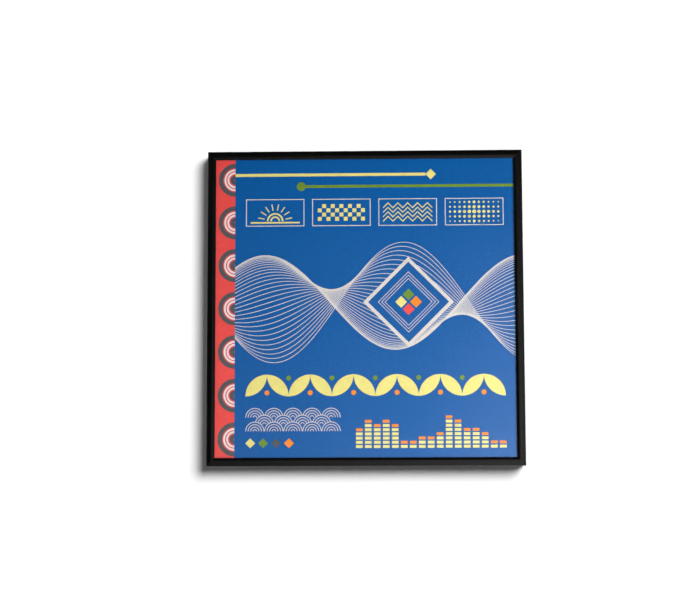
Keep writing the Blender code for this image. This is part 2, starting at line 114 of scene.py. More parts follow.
# shading of imported solids
MERGE_DISTANCE = 0.002 * MM
SMOOTH_ANGLE = math.radians(32)
EDGE_SAMPLES = 4

# sockets of the Mix node for colours (factor, first, second, result) and of the Principled shader
MIX_SOCKETS = (0, 6, 7)
MIX_RESULT = 2
SOCKETS = {
    "color": "Base Color",
    "metallic": "Metallic",
    "roughness": "Roughness",
    "normal": "Normal",
    "ior": "IOR",
    "specular": "Specular IOR Level",
    "transmission": "Transmission Weight",
}

# In the materials below, a noise is (scale, detail, roughness) and a span is (low, high, new low, new high).
# LINES are shares that a texture's coordinates are squeezed by, which draws it out, and DEPTH is relief.

# black anodising
RAIL_LINES = 0.02
RAIL_STREAKS = (2600, 3, 0.6)
RAIL_BANDS = (420, 2, 0.5)
RAIL_CLOUDS = (22, 3, 0.5)
RAIL_GRAIN = (7000, 2, 0.5)
RAIL_BLACK = (0.0009, 0.0009, 0.0010)
RAIL_WARM_BLACK = (0.0014, 0.0013, 0.0013)
RAIL_STREAK_GREY = (0.005, 0.005, 0.0055)
RAIL_CLOUD_SPAN = (0.35, 0.65, 0, 1)
RAIL_STREAK_SPAN = (0.55, 0.85, 0, 0.5)
RAIL_STREAK_ROUGHNESS = (0.3, 0.7, 0.15, 0.24)
RAIL_CLOUD_ROUGHNESS = (0.3, 0.7, -0.02, 0.03)
RAIL_BAND_ROUGHNESS = (0.35, 0.65, -0.04, 0.05)
RAIL_GRAIN_DEPTH = 0.0012 * MM
RAIL_BAND_DEPTH = 0.012 * MM
RAIL_STREAK_DEPTH = 0.003 * MM
SAWN_FACING = 0.5
SAWN_ROUGHNESS = 0.25
SAW_MARKS = (1500, 2, 0.5)
SAW_LINES = (1, 0.05, 1)
SAW_DEPTH = 0.02 * MM

# float glass
GLASS_CLEAR = (0.985, 0.995, 0.99)
GLASS_GREEN = (0.42, 0.70, 0.58)
GLASS_SHADOW = (0.96, 0.98, 0.97)
GLASS_IOR = 1.5
GLASS_FACE_FACING = 0.9
GLASS_GROUND = (4000, 2, 0.5)
GLASS_GROUND_ROUGHNESS = (0.3, 0.7, 0.25, 0.45)
GLASS_WAVE = (9, 2, 0.5)
GLASS_WAVE_DEPTH = 0.002 * MM

# print and the card under it
INKS = {
    "blue": (0.0015, 0.056, 0.200),
    "off_white": (0.42, 0.375, 0.355),
    "cream": (0.49, 0.415, 0.13),
    "green": (0.095, 0.155, 0.017),
    "orange": (0.55, 0.145, 0.008),
    "red": (0.50, 0.045, 0.042),
    "grey": (0.053, 0.053, 0.060),
    "pale": (0.47, 0.47, 0.475),
}
PRINT_PATCHES = (160, 3, 0.6)
PRINT_PATCH_SPAN = (0.3, 0.7, 0, 1)
PRINT_SPECKS = (2600, 2, 0.6)
PRINT_SPECULAR = 0.08
INK_SPREAD = 0.06
INK_SPECK_SPAN = (0.66, 0.8, 0, 0.5)
INK_SPECK_LIFT = (0.10, 0.10, 0.10)
INK_ROUGHNESS = (0.3, 0.7, 0.42, 0.55)
CARD_SPREAD = 0.05
CARD_SPECK_SPAN = (0.68, 0.8, 0, 0.5)
CARD_SPECK_LIFT = (0.03, 0.05, 0.06)
CARD_ROUGHNESS = 0.48
CARD_FRONT_FACING = -0.5
BARE_FIBRES = (420, 4, 0.65)
BARE_FIBRE_LINES = (1, 1, 0.25)
BARE_FIBRE_SPAN = (0.35, 0.65, 0, 1)
BARE_GREYS = ((0.42, 0.40, 0.36), (0.58, 0.56, 0.51))
BARE_ROUGHNESS = 0.85
PAPER_TOOTH = (5200, 3, 0.6)
PAPER_TOOTH_DEPTH = 0.003 * MM

# hardboard
FIBRE_TURNS = (8, 47, 79, 118, 151)
FIBRE_LENGTH = 6
FIBRES = (1100, 3, 0.6)
FIBRE_SPAN = (0.5, 0.72, 0, 1)
FIBRE_ROUGHNESS = (0.5, 0.72, 0.62, 0.8)
FIBRE_DEPTH = 0.03 * MM
FIBRE_BROWNS = ((0.095, 0.045, 0.019), (0.20, 0.107, 0.051))
BROWN_CLOUDS = (14, 3, 0.6)
BROWN_CLOUD = (0.13, 0.062, 0.028)
BROWN_CLOUD_SPAN = (0.3, 0.7, 0, 0.45)
BROWN_FLECKS = (1300, 2, 0.5)
BROWN_FLECK = (0.045, 0.022, 0.010)
BROWN_FLECK_SPAN = (0.68, 0.78, 0, 0.7)
HARDBOARD_SPECULAR = 0.3
SCREEN_FACING = 0.9
SCREEN_PITCH = 1.7 * MM
SCREEN_SPAN = (-1, 1, 0, 1)
SCREEN_DEPTH = 0.12 * MM
# darker brown painted into the dents of the screen's weave on the back: painted shade in the hollows
SCREEN_DENT_SHADE = (0.050, 0.024, 0.011)
SCREEN_DENT_SHADE_SPAN = (-0.2, -1, 0, 0.45)

# zinc plate
ZINC_SPANGLE = 260
ZINC_GREYS = ((0.42, 0.44, 0.47), (0.60, 0.61, 0.62))
ZINC_SPANGLE_ROUGHNESS = (0, 1, 0.28, 0.42)
ZINC_HAZE = (70, 3, 0.5)
ZINC_TARNISH = (0.56, 0.53, 0.44)
ZINC_HAZE_SPAN = (0.4, 0.7, 0, 0.4)
ZINC_HAZE_ROUGHNESS = (0.3, 0.7, -0.03, 0.08)
ZINC_ROLLING = (2200, 2, 0.5)
ZINC_ROLLING_LINES = (0.04, 1, 1)
ZINC_ROLLING_DEPTH = 0.0015 * MM
ZINC_METALLIC = 0.8
ZINC_EDGE = 0.15 * MM

# nickel plate
NICKEL_GREYS = ((0.56, 0.53, 0.48), (0.68, 0.65, 0.60))
NICKEL_HAZE = (300, 3, 0.5)
NICKEL_HAZE_SPAN = (0.35, 0.65, 0, 1)
NICKEL_SCRATCHES = (3000, 2, 0.6)
NICKEL_SCRATCH_LINES = (1, 0.05, 0.3)
NICKEL_ROUGHNESS = (0.35, 0.7, 0.16, 0.34)
NICKEL_SCRATCH_DEPTH = 0.0015 * MM
NICKEL_METALLIC = 0.85
NICKEL_EDGE = 0.08 * MM

# blued spring steel
BLUED_CLOUDS = (90, 3, 0.6)
BLUED_CLOUD_SPAN = (0.38, 0.62, 0, 1)
BLUED_BLUE = (0.13, 0.16, 0.23)
BLUED_BROWN = (0.23, 0.20, 0.17)
BLUED_RUBS = (700, 4, 0.7)
BLUED_RUB_LINES = (0.3, 1, 1)
BLUED_RUB_SPAN = (0.62, 0.8, 0, 0.8)
BLUED_BRIGHT = (0.42, 0.42, 0.43)
BLUED_ROUGHNESS = (0.3, 0.75, 0.42, 0.25)
BLUED_RUB_DEPTH = 0.002 * MM
BLUED_METALLIC = 0.8
BLUED_EDGE = 0.12 * MM

# rubber
RUBBER_PEBBLES = 2600
RUBBER_PEBBLE_DEPTH = 0.03 * MM
RUBBER_DUST = (500, 4, 0.7)
RUBBER_DUST_SPAN = (0.5, 0.75, 0, 0.6)
RUBBER_GREYS = ((0.075, 0.077, 0.080), (0.17, 0.17, 0.165))
RUBBER_ROUGHNESS = (0.3, 0.7, 0.72, 0.9)
RUBBER_SPECULAR = 0.35

# print: layers of ink in front of the card, each a step further forward
INK_THICK = 0.02
INK_LIFT = 0.03
INK_STEP = 0.0025
ARCH_LAYER = 8
BADGE_FIELD_LAYER = 20
BADGE_LAYER = 24
SCALLOP_ROW_LAYERS = 8
SCALLOP_LINE_LAYERS = 4
WAVES_PER_STEP = 4

# print: layout, in millimetres from the card's centre
CARD_REACH = 157.4
BAND_RIGHT = -132.0
FIELD_LEFT = -121.0
FIELD_RIGHT = 141.0
FIELD_BOTTOM = -141.0
FIELD_WIDTH = FIELD_RIGHT - FIELD_LEFT

ARCH_PITCH = 44.0
ARCH_PAIRS = 3
ARCH_RINGS = (("grey", 17.0, 12.4), ("pale", 11.2, 9.4), ("pale", 8.2, 6.4), ("grey", 5.0, 0.6))

STRIPE_WIDTH = 3.0
HIGH_STRIPE = 136.9
HIGH_STRIPE_END = 62.0
LOW_STRIPE = 124.9
LOW_STRIPE_END = -60.0
STRIPE_DIAMOND = 5.4
STRIPE_DISC = 4.6

PANEL_LINE = 0.8
PANEL_BOTTOM = 84.0
PANEL_TOP = 112.0
PANEL_GAP = 8.0
PANEL_COUNT = 4
PANEL_WIDTH = (FIELD_WIDTH + PANEL_GAP) / PANEL_COUNT - PANEL_GAP
PANEL_MIDDLE = (PANEL_BOTTOM + PANEL_TOP) / 2

SUN_RISE = 5.4
SUN_RINGS = (5.0, 8.4)
SUN_RING_LINE = 1.6
SUN_RAYS = 8
SUN_RAY_LINE = 1.0
SUN_RAY_FROM = 11.0
SUN_RAY_TO = 17.5
HORIZON_REACH = 25.0

CHEQUER = 4.4
CHEQUER_COLUMNS = 11
CHEQUER_ROWS = 4
CHEQUER_TRIM = 0.2

DOT_PITCH = 4.9
DOT_REACH = (5, 2)
DOT_RADIUS = 1.9
DOT_SHRINK = (0.14, 0.28)

ZIGZAG_LINES = 4
ZIGZAG_TURNS = 10
ZIGZAG_WIDTH = 50.0
ZIGZAG_HEIGHT = 5.0
ZIGZAG_PITCH = 4.6
ZIGZAG_LINE = 1.3

WAVE_MIDDLE = 6.0
WAVE_COUNT = 30
WAVE_STEPS = 140
WAVE_LINE = 0.6
WAVE_SWELL = 46.0
WAVE_TURNS = 1.1
WAVE_START = 1.1
WAVE_SWAY = 17.0
WAVE_SWAY_LAG = 2.1

BADGE_X = 44.0
BADGE_REACH = 46.0
BADGE_LINE = 5.0
BADGE_INNER = (31.0, 27.6, 24.2)
BADGE_SPOT = 6.0
BADGE_SPOT_AWAY = 7.5
BADGE_SPOTS = (("cream", -1, 0), ("orange", 1, 0), ("green", 0, 1), ("red", 0, -1))

FRIEZE_MIDDLE = -78.0
FRIEZE_COUNT = 12
FRIEZE_REACH = FIELD_WIDTH / FRIEZE_COUNT / 2
FRIEZE_DOT = 2.5
FRIEZE_DOT_AWAY = 7.4
FRIEZE_DOTS = (("orange", 1, -1), ("green", 2, 1))

BAR_COUNT = 17
BAR_PITCH = 9.0
BAR_WIDTH = 6.6
BAR_STEP = 4.2
BAR_BLOCK = 2.8
BAR_LEVEL = 4.4
BAR_LEAST = 2
BAR_SWINGS = ((2.7, 0.72, 0.0), (1.3, 1.9, 0.8))

SCALLOP_RADIUS = 9.6
SCALLOP_COLUMNS = 5
SCALLOP_ROWS = 3
SCALLOP_BASE = -124.0
SCALLOP_RISE_SHARE = 0.72
SCALLOP_RING_SHARES = (1.0, 0.74, 0.48, 0.22)
SCALLOP_LINE = 0.75

SPOT_REACH = 5.0
SPOT_PITCH = 13.0
SPOTS = ("cream", "green", "grey", "orange")

DISC_STEPS = 48
HALF_STEPS = 24


# node graphs

def grey(level):
    return (level, level, level)


class Graph:
    """A tree of shader nodes, with short ways to add the usual ones."""

    def __init__(self, owner):
        owner.use_nodes = True
        self.tree = owner.node_tree

    def put(self, socket, value):
        """Links a socket to a node's output, or sets it to a value. A colour is red, green and blue."""
        if isinstance(value, bpy.types.NodeSocket):
            self.tree.links.new(value, socket)
        elif socket.type == "RGBA":
            socket.default_value = (*value, 1.0)
        else:
            socket.default_value = value

    def add(self, kind, inputs=None, **settings):
        node = self.tree.nodes.new(kind)
        for name, value in settings.items():
            setattr(node, name, value)
        for name, value in (inputs or {}).items():
            self.put(node.inputs[name], value)
        return node

    def span(self, value, low, high, new_low, new_high):
        """Value moved from low..high to new_low..new_high, and held there."""
        inputs = {"Value": value, "From Min": low, "From Max": high, "To Min": new_low, "To Max": new_high}
        return self.add("ShaderNodeMapRange", inputs).outputs["Result"]

    def calc(self, operation, first, second=0.0):
        node = self.add("ShaderNodeMath", operation=operation)
        self.put(node.inputs[0], first)
        self.put(node.inputs[1], second)
        return node.outputs["Value"]

    def blend(self, share, first, second):
        """The first colour where share is 0 and the second where it is 1."""
        node = self.add("ShaderNodeMix", data_type="RGBA")
        for socket, value in zip(MIX_SOCKETS, (share, first, second)):
            self.put(node.inputs[socket], value)
        return node.outputs[MIX_RESULT]

    def parts(self, vector):
        """A vector's X, Y and Z."""
        node = self.add("ShaderNodeSeparateXYZ", {"Vector": vector})
        return node.outputs["X"], node.outputs["Y"], node.outputs["Z"]

    def ramp(self, value, stops):
        """A smooth grey curve through stops of (value, level), with values from -1 to 1."""
        node = self.add("ShaderNodeValToRGB", {"Fac": self.span(value, -1, 1, 0, 1)})
        node.color_ramp.interpolation = "EASE"
        elements = node.color_ramp.elements
        while len(elements) < len(stops):
            elements.new(1.0)
        for element, (at, level) in zip(elements, stops):
            element.position = (at + 1) / 2
            element.color = (*grey(level), 1.0)
        return node.outputs["Color"]


class Paint(Graph):
    """One material's nodes, around its Principled shader."""

    def __init__(self, name):
        self.material = bpy.data.materials.new(name)
        super().__init__(self.material)
        self.shader = self.tree.nodes["Principled BSDF"]
        self.output = self.tree.nodes["Material Output"]
        self.coordinates = self.add("ShaderNodeTexCoord")
        self.place = self.coordinates.outputs["Object"]

    def set(self, **values):
        """Sets the shader's sockets by the short names in SOCKETS."""
        for name, value in values.items():
            self.put(self.shader.inputs[SOCKETS[name]], value)

    def mix_in(self, shader, share):
        """Puts another shader in place of the material's own where share is 1."""
        pick = self.add("ShaderNodeMixShader", {"Fac": share})
        surface = self.output.inputs["Surface"]
        self.put(pick.inputs[1], surface.links[0].from_socket)
        self.put(pick.inputs[2], shader)
        self.put(surface, pick.outputs["Shader"])

    def stretched(self, x, y, z):
        """The object's own coordinates, squeezed along each axis by its share."""
        inputs = {"Vector": self.place, "Scale": (x, y, z)}
        return self.add("ShaderNodeMapping", inputs).outputs["Vector"]

    def combed(self, turn, length, shift):
        """The object's own coordinates, drawn out in the XZ plane at turn degrees from +Z."""
        inputs = {
            "Vector": self.place,
            "Location": (shift, 0, 0),
            "Rotation": (0, math.radians(turn), 0),
            "Scale": (1, 1, length),
        }
        return self.add("ShaderNodeMapping", inputs, vector_type="TEXTURE").outputs["Vector"]

    def noise(self, scale, detail, roughness, where=None):
        inputs = {"Vector": where or self.place, "Scale": scale, "Detail": detail, "Roughness": roughness}
        return self.add("ShaderNodeTexNoise", inputs).outputs["Fac"]

    def cells(self, scale, output):
        inputs = {"Vector": self.place, "Scale": scale}
        return self.add("ShaderNodeTexVoronoi", inputs).outputs[output]

    def facing(self):
        """The three parts of the surface's own direction, which turn with the object."""
        return self.parts(self.coordinates.outputs["Normal"])

    def rounded_edges(self, radius):
        return self.add("ShaderNodeBevel", {"Radius": radius}, samples=EDGE_SAMPLES).outputs["Normal"]

    def bump(self, height, distance, normal=None):
        """Relief of that height in metres, over the relief in normal."""
        inputs = {"Height": height, "Distance": distance}
        if normal is not None:
            inputs["Normal"] = normal
        return self.add("ShaderNodeBump", inputs).outputs["Normal"]


# materials

def anodised_rail(name, along_x):
    """Black satin anodising over fine extrusion lines, and over saw marks on the mitred ends."""
    g = Paint(name)
    lines = g.stretched(RAIL_LINES, 1, 1) if along_x else g.stretched(1, 1, RAIL_LINES)
    streaks = g.noise(*RAIL_STREAKS, where=lines)
    bands = g.noise(*RAIL_BANDS, where=lines)
    clouds = g.noise(*RAIL_CLOUDS)
    grain = g.noise(*RAIL_GRAIN)
    x, _, z = g.facing()
    along = g.calc("ABSOLUTE", x if along_x else z)
    sawn = g.calc("GREATER_THAN", along, SAWN_FACING)
    black = g.blend(g.span(clouds, *RAIL_CLOUD_SPAN), RAIL_BLACK, RAIL_WARM_BLACK)
    black = g.blend(g.span(streaks, *RAIL_STREAK_SPAN), black, RAIL_STREAK_GREY)
    satin = g.calc("ADD", g.span(streaks, *RAIL_STREAK_ROUGHNESS), g.span(clouds, *RAIL_CLOUD_ROUGHNESS))
    satin = g.calc("ADD", satin, g.span(bands, *RAIL_BAND_ROUGHNESS))
    satin = g.calc("ADD", satin, g.calc("MULTIPLY", sawn, SAWN_ROUGHNESS))
    saw = g.calc("MULTIPLY", g.noise(*SAW_MARKS, where=g.stretched(*SAW_LINES)), sawn)
    relief = g.bump(saw, SAW_DEPTH)
    for height, depth in ((grain, RAIL_GRAIN_DEPTH), (bands, RAIL_BAND_DEPTH), (streaks, RAIL_STREAK_DEPTH)):
        relief = g.bump(height, depth, relief)
    g.set(color=black, roughness=satin, normal=relief)
    return g.material


def clear_glass(name):
    """Float glass: clear faces, and ground edges with a green tint. It lets light through to the print."""
    g = Paint(name)
    _, y, _ = g.facing()
    edge = g.calc("LESS_THAN", g.calc("ABSOLUTE", y), GLASS_FACE_FACING)
    ground = g.span(g.noise(*GLASS_GROUND), *GLASS_GROUND_ROUGHNESS)
    g.set(color=g.blend(edge, GLASS_CLEAR, GLASS_GREEN), roughness=g.calc("MULTIPLY", edge, ground))
    g.set(ior=GLASS_IOR, transmission=1.0, normal=g.bump(g.noise(*GLASS_WAVE), GLASS_WAVE_DEPTH))
    path = g.add("ShaderNodeLightPath")
    lighting = g.calc("MAXIMUM", path.outputs["Is Shadow Ray"], path.outputs["Is Diffuse Ray"])
    clear = g.add("ShaderNodeBsdfTransparent", {"Color": GLASS_SHADOW})
    g.mix_in(clear.outputs["BSDF"], lighting)
    return g.material


def paper_relief(g):
    """Fine tooth of coated board."""
    return g.bump(g.noise(*PAPER_TOOTH), PAPER_TOOTH_DEPTH)


def printed(g, colour, spread, specks, lift):
    """A printed colour, a little uneven in patches, with paler paper where specks is above 0."""
    dark, light = (tuple(part * share for part in colour) for share in (1 - spread, 1 + spread))
    paper = tuple(min(1, part + more) for part, more in zip(colour, lift))
    patches = g.span(g.noise(*PRINT_PATCHES), *PRINT_PATCH_SPAN)
    return g.blend(specks, g.blend(patches, dark, light), paper)


def ink(name, colour):
    """Printed ink on coated board."""
    g = Paint(name)
    specks = g.noise(*PRINT_SPECKS)
    g.set(color=printed(g, colour, INK_SPREAD, g.span(specks, *INK_SPECK_SPAN), INK_SPECK_LIFT))
    g.set(roughness=g.span(specks, *INK_ROUGHNESS), specular=PRINT_SPECULAR, normal=paper_relief(g))
    return g.material


def card_stock(name, colour):
    """A printed front, with bare grey-white board on the back and the cut edges."""
    g = Paint(name)
    _, y, _ = g.facing()
    front = g.calc("LESS_THAN", y, CARD_FRONT_FACING)
    specks = g.span(g.noise(*PRINT_SPECKS), *CARD_SPECK_SPAN)
    face = printed(g, colour, CARD_SPREAD, specks, CARD_SPECK_LIFT)
    fibres = g.noise(*BARE_FIBRES, where=g.stretched(*BARE_FIBRE_LINES))
    bare = g.blend(g.span(fibres, *BARE_FIBRE_SPAN), *BARE_GREYS)
    g.set(color=g.blend(front, bare, face), specular=PRINT_SPECULAR)
    g.set(roughness=g.blend(front, grey(BARE_ROUGHNESS), grey(CARD_ROUGHNESS)), normal=paper_relief(g))
    return g.material


def hardboard(name):
    """Brown wood fibre board: matted fibres, clouds and flecks, and the press screen's weave on the back,
    with painted shade in the weave's dents.
    """
    g = Paint(name)
    fibres = 0.0
    for turn in FIBRE_TURNS:
        way = g.noise(*FIBRES, where=g.combed(turn, FIBRE_LENGTH, turn * MM))
        fibres = g.calc("MAXIMUM", fibres, way)
    brown = g.blend(g.span(fibres, *FIBRE_SPAN), *FIBRE_BROWNS)
    brown = g.blend(g.span(g.noise(*BROWN_CLOUDS), *BROWN_CLOUD_SPAN), brown, BROWN_CLOUD)
    brown = g.blend(g.span(g.noise(*BROWN_FLECKS), *BROWN_FLECK_SPAN), brown, BROWN_FLECK)
    place_x, _, place_z = g.parts(g.place)
    wave_x, wave_z = (
        g.calc("SINE", g.calc("MULTIPLY", place, 2 * math.pi / SCREEN_PITCH)) for place in (place_x, place_z)
    )
    weave = g.calc("MULTIPLY", wave_x, wave_z)
    _, y, _ = g.facing()
    back = g.calc("GREATER_THAN", y, SCREEN_FACING)
    screen = g.calc("MULTIPLY", g.span(weave, *SCREEN_SPAN), back)
    # the weave's dents on the back are painted darker brown: painted shade, over the screen's relief
    dent_shade = g.calc("MULTIPLY", g.span(weave, *SCREEN_DENT_SHADE_SPAN), back)
    g.set(color=g.blend(dent_shade, brown, SCREEN_DENT_SHADE), specular=HARDBOARD_SPECULAR)
    g.set(roughness=g.span(fibres, *FIBRE_ROUGHNESS))
    g.set(normal=g.bump(fibres, FIBRE_DEPTH, g.bump(screen, SCREEN_DEPTH)))
    return g.material


def zinc(name):
    """Bright zinc plate: a faint spangle, rolling lines and softly rounded edges."""
    g = Paint(name)
    spangle = g.cells(ZINC_SPANGLE, "Color")
    grain = g.add("ShaderNodeSeparateColor", {"Color": spangle}).outputs["Red"]
    haze = g.noise(*ZINC_HAZE)
    plate = g.blend(g.span(haze, *ZINC_HAZE_SPAN), g.blend(grain, *ZINC_GREYS), ZINC_TARNISH)
    satin = g.calc("ADD", g.span(grain, *ZINC_SPANGLE_ROUGHNESS), g.span(haze, *ZINC_HAZE_ROUGHNESS))
    rolling = g.noise(*ZINC_ROLLING, where=g.stretched(*ZINC_ROLLING_LINES))
    g.set(color=plate, metallic=ZINC_METALLIC, roughness=satin)
    g.set(normal=g.bump(rolling, ZINC_ROLLING_DEPTH, g.rounded_edges(ZINC_EDGE)))
    return g.material


def nickel(name):
    """Nickel-plated steel with fine scratches."""
    g = Paint(name)
    scratches = g.noise(*NICKEL_SCRATCHES, where=g.stretched(*NICKEL_SCRATCH_LINES))
    plate = g.blend(g.span(g.noise(*NICKEL_HAZE), *NICKEL_HAZE_SPAN), *NICKEL_GREYS)
    g.set(color=plate, metallic=NICKEL_METALLIC, roughness=g.span(scratches, *NICKEL_ROUGHNESS))
    g.set(normal=g.bump(scratches, NICKEL_SCRATCH_DEPTH, g.rounded_edges(NICKEL_EDGE)))
    return g.material


def blued_steel(name):
    """Spring steel blued by heat: dark blue with brown clouds, and brighter rubbed patches."""
    g = Paint(name)
    rubs = g.noise(*BLUED_RUBS, where=g.stretched(*BLUED_RUB_LINES))
    skin = g.blend(g.span(g.noise(*BLUED_CLOUDS), *BLUED_CLOUD_SPAN), BLUED_BLUE, BLUED_BROWN)
    skin = g.blend(g.span(rubs, *BLUED_RUB_SPAN), skin, BLUED_BRIGHT)
    g.set(color=skin, metallic=BLUED_METALLIC, roughness=g.span(rubs, *BLUED_ROUGHNESS))
    g.set(normal=g.bump(rubs, BLUED_RUB_DEPTH, g.rounded_edges(BLUED_EDGE)))
    return g.material


def rubber(name):
    """Soft grey rubber with a pebbled skin and a little dust."""
    g = Paint(name)
    dust = g.noise(*RUBBER_DUST)
    g.set(color=g.blend(g.span(dust, *RUBBER_DUST_SPAN), *RUBBER_GREYS), specular=RUBBER_SPECULAR)
    g.set(roughness=g.span(dust, *RUBBER_ROUGHNESS))
    g.set(normal=g.bump(g.cells(RUBBER_PEBBLES, "Distance"), RUBBER_PEBBLE_DEPTH))
    return g.material


# dressing the CAD nodes

def smoothing_group():
    """Joins the imported triangles' corners, and shades them smooth across gentle edges."""
    group = bpy.data.node_groups.new("smooth_gentle_edges", "GeometryNodeTree")
    group.interface.new_socket("Geometry", in_out="INPUT", socket_type="NodeSocketGeometry")
    group.interface.new_socket("Geometry", in_out="OUTPUT", socket_type="NodeSocketGeometry")
    start = group.nodes.new("NodeGroupInput")
    end = group.nodes.new("NodeGroupOutput")
    merge = group.nodes.new("GeometryNodeMergeByDistance")
    merge.inputs["Distance"].default_value = MERGE_DISTANCE
    faces = group.nodes.new("GeometryNodeSetShadeSmooth")
    angle = group.nodes.new("GeometryNodeInputMeshEdgeAngle")
    sharp = group.nodes.new("FunctionNodeCompare")
    sharp.operation = "GREATER_THAN"
    sharp.inputs["B"].default_value = SMOOTH_ANGLE
    edges = group.nodes.new("GeometryNodeSetShadeSmooth")
    edges.domain = "EDGE"
    edges.inputs["Shade Smooth"].default_value = False
    group.links.new(start.outputs["Geometry"], merge.inputs["Geometry"])
    group.links.new(merge.outputs["Geometry"], faces.inputs["Geometry"])
    group.links.new(faces.outputs["Geometry"], edges.inputs["Geometry"])
    group.links.new(angle.outputs["Unsigned Angle"], sharp.inputs["A"])
    group.links.new(sharp.outputs["Result"], edges.inputs["Selection"])
    group.links.new(edges.outputs["Geometry"], end.inputs["Geometry"])
    return group


def soften(node, group):
    """Smooth shading on a CAD node, whose triangles come in with flat normals."""
    flat = node.data.attributes.get("custom_normal")
    if flat is not None:
        node.data.attributes.remove(flat)
    node.modifiers.new("smooth", "NODES").node_group = group
    weighted = node.modifiers.new("flat_faces_first", "WEIGHTED_NORMAL")
    weighted.keep_sharp = True


def dress(group, material, *starts):
    """Gives the nodes whose names start so that material."""
    for name, node in NODES.items():
        if name.startswith(starts):
            node.material_slots[0].material = material
            soften(node, group)


def dress_all():
    """Gives every CAD node its material. The board throws no brown light onto the wall and the rails."""
    group = smoothing_group()
    dress(group, anodised_rail("anodised_along_x", True), "rail_top", "rail_bottom")
    dress(group, anodised_rail("anodised_along_z", False), "rail_left", "rail_right")
    dress(group, clear_glass("float_glass"), "glass_sheet")
    dress(group, card_stock("card_blue", INKS["blue"]), "cover_card")
    dress(group, hardboard("hardboard"), "backing_board")
    dress(group, zinc("zinc_plate_rolled"), "corner_angle", "hanger_strap")
    dress(group, nickel("nickel_plate"), "set_screw", "hanger_rivet", "hang_ring")
    dress(group, blued_steel("blued_steel"), "spring_clip")
    dress(group, rubber("soft_rubber"), "wall_pad")
    NODES["backing_board"].visible_diffuse = False


# outlines for the print, as lists of (x, z)

def rectangle(left, bottom, right, top):
    return [(left, bottom), (right, bottom), (right, top), (left, top)]


def arc(x, z, radius, start, stop, steps):
    """Points on a circle about (x, z), from start to stop degrees."""
    turns = [math.radians(start + (stop - start) * i / steps) for i in range(steps + 1)]
    return [(x + radius * math.cos(t), z + radius * math.sin(t)) for t in turns]


def disc(x, z, radius):
    return arc(x, z, radius, 0, 360, DISC_STEPS)[:-1]


def diamond(x, z, reach):
    return [(x, z - reach), (x + reach, z), (x, z + reach), (x - reach, z)]


def leaf(x, z, reach, lean):
    """A pointed leaf from corner to corner of a square. It leans right (1) or left (-1)."""
    low = arc(x + lean * reach, z - reach, 2 * reach, 90, 90 + lean * 90, HALF_STEPS)
    high = arc(x - lean * reach, z + reach, 2 * reach, 270, 270 + lean * 90, HALF_STEPS)
    return low[:-1] + high[:-1]


def stroke(points, width):
    """The two sides of a line of that width through the points."""
    left, right = [], []
    for i, (x, z) in enumerate(points):
        x0, z0 = points[max(i - 1, 0)]
        x1, z1 = points[min(i + 1, len(points) - 1)]
        length = math.hypot(x1 - x0, z1 - z0)
        across = (-(z1 - z0) / length * width / 2, (x1 - x0) / length * width / 2)
        left.append((x + across[0], z + across[1]))
        right.append((x - across[0], z - across[1]))
    return left, right


# print on the card

class Sheet:
    """A thin printed piece on the card's front, drawn in millimetres from the card's centre."""

    def __init__(self, name, material, layer=0):
        low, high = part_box("cover_card")
        self.name = name
        self.material = material
        self.lift = INK_LIFT + layer * INK_STEP
        self.front = low.y
        self.middle = Vector(((low.x + high.x) / 2, (low.z + high.z) / 2))
        self.mesh = bmesh.new()

    def rows(self, points, raise_by=0.0):
        """The points' corners on the ink's front, and those on its back."""
        front = self.front - (self.lift + raise_by) * MM
        return [
            [self.mesh.verts.new((self.middle.x + x * MM, depth, self.middle.y + z * MM)) for x, z in points]
            for depth in (front, front + INK_THICK * MM)
        ]

    def join(self, first, second, closed=True):
        """Faces between two rows with as many corners."""
        count = len(first)
        for i in range(count if closed else count - 1):
            j = (i + 1) % count
            self.mesh.faces.new((first[i], first[j], second[j], second[i]))

    def area(self, points):
        """A shape with those corners."""
        front, back = self.rows(points)
        self.mesh.faces.new(front)
        self.mesh.faces.new(back)
        self.join(front, back)

    def band(self, outer, inner, closed=True, raise_by=0.0):
        """A strip between two lines with as many points."""
        outer_front, outer_back = self.rows(outer, raise_by)
        inner_front, inner_back = self.rows(inner, raise_by)
        around = (outer_front, inner_front, inner_back, outer_back)
        for i, row in enumerate(around):
            self.join(around[i - 1], row, closed)
        if not closed:
            for end in (0, -1):
                self.mesh.faces.new([row[end] for row in around])

    def line(self, points, width, raise_by=0.0):
        """A line of that width through the points."""
        self.band(*stroke(points, width), closed=False, raise_by=raise_by)

    def half_ring(self, x, z, outer, inner, start):
        """Half a ring about (x, z), from start degrees to half a turn further."""
        rows = [arc(x, z, radius, start, start + 180, HALF_STEPS) for radius in (outer, inner)]
        self.band(*rows, closed=False)

    def finish(self):
        """Makes the faces a piece, which moves with the pack."""
        bmesh.ops.recalc_face_normals(self.mesh, faces=self.mesh.faces)
        data = bpy.data.meshes.new(self.name)
        self.mesh.to_mesh(data)
        self.mesh.free()
        data.materials.append(self.material)
        piece = bpy.data.objects.new(self.name, data)
        bpy.context.scene.collection.objects.link(piece)
        piece.visible_shadow = False
        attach(piece, "pack")


def print_band(inks):
    """Red upright band at the left with a column of half rings."""
    band = Sheet("print_band", inks["red"])
    band.area(rectangle(-CARD_REACH, -CARD_REACH, BAND_RIGHT, CARD_REACH))
    band.finish()
    for colour in ("grey", "pale"):
        arches = Sheet(f"print_arches_{colour}", inks[colour], ARCH_LAYER)
        for k in range(-ARCH_PAIRS, ARCH_PAIRS + 1):
            for used, outer, inner in ARCH_RINGS:
                if used == colour:
                    arches.half_ring(BAND_RIGHT, k * ARCH_PITCH, outer, inner, 90)
        arches.finish()


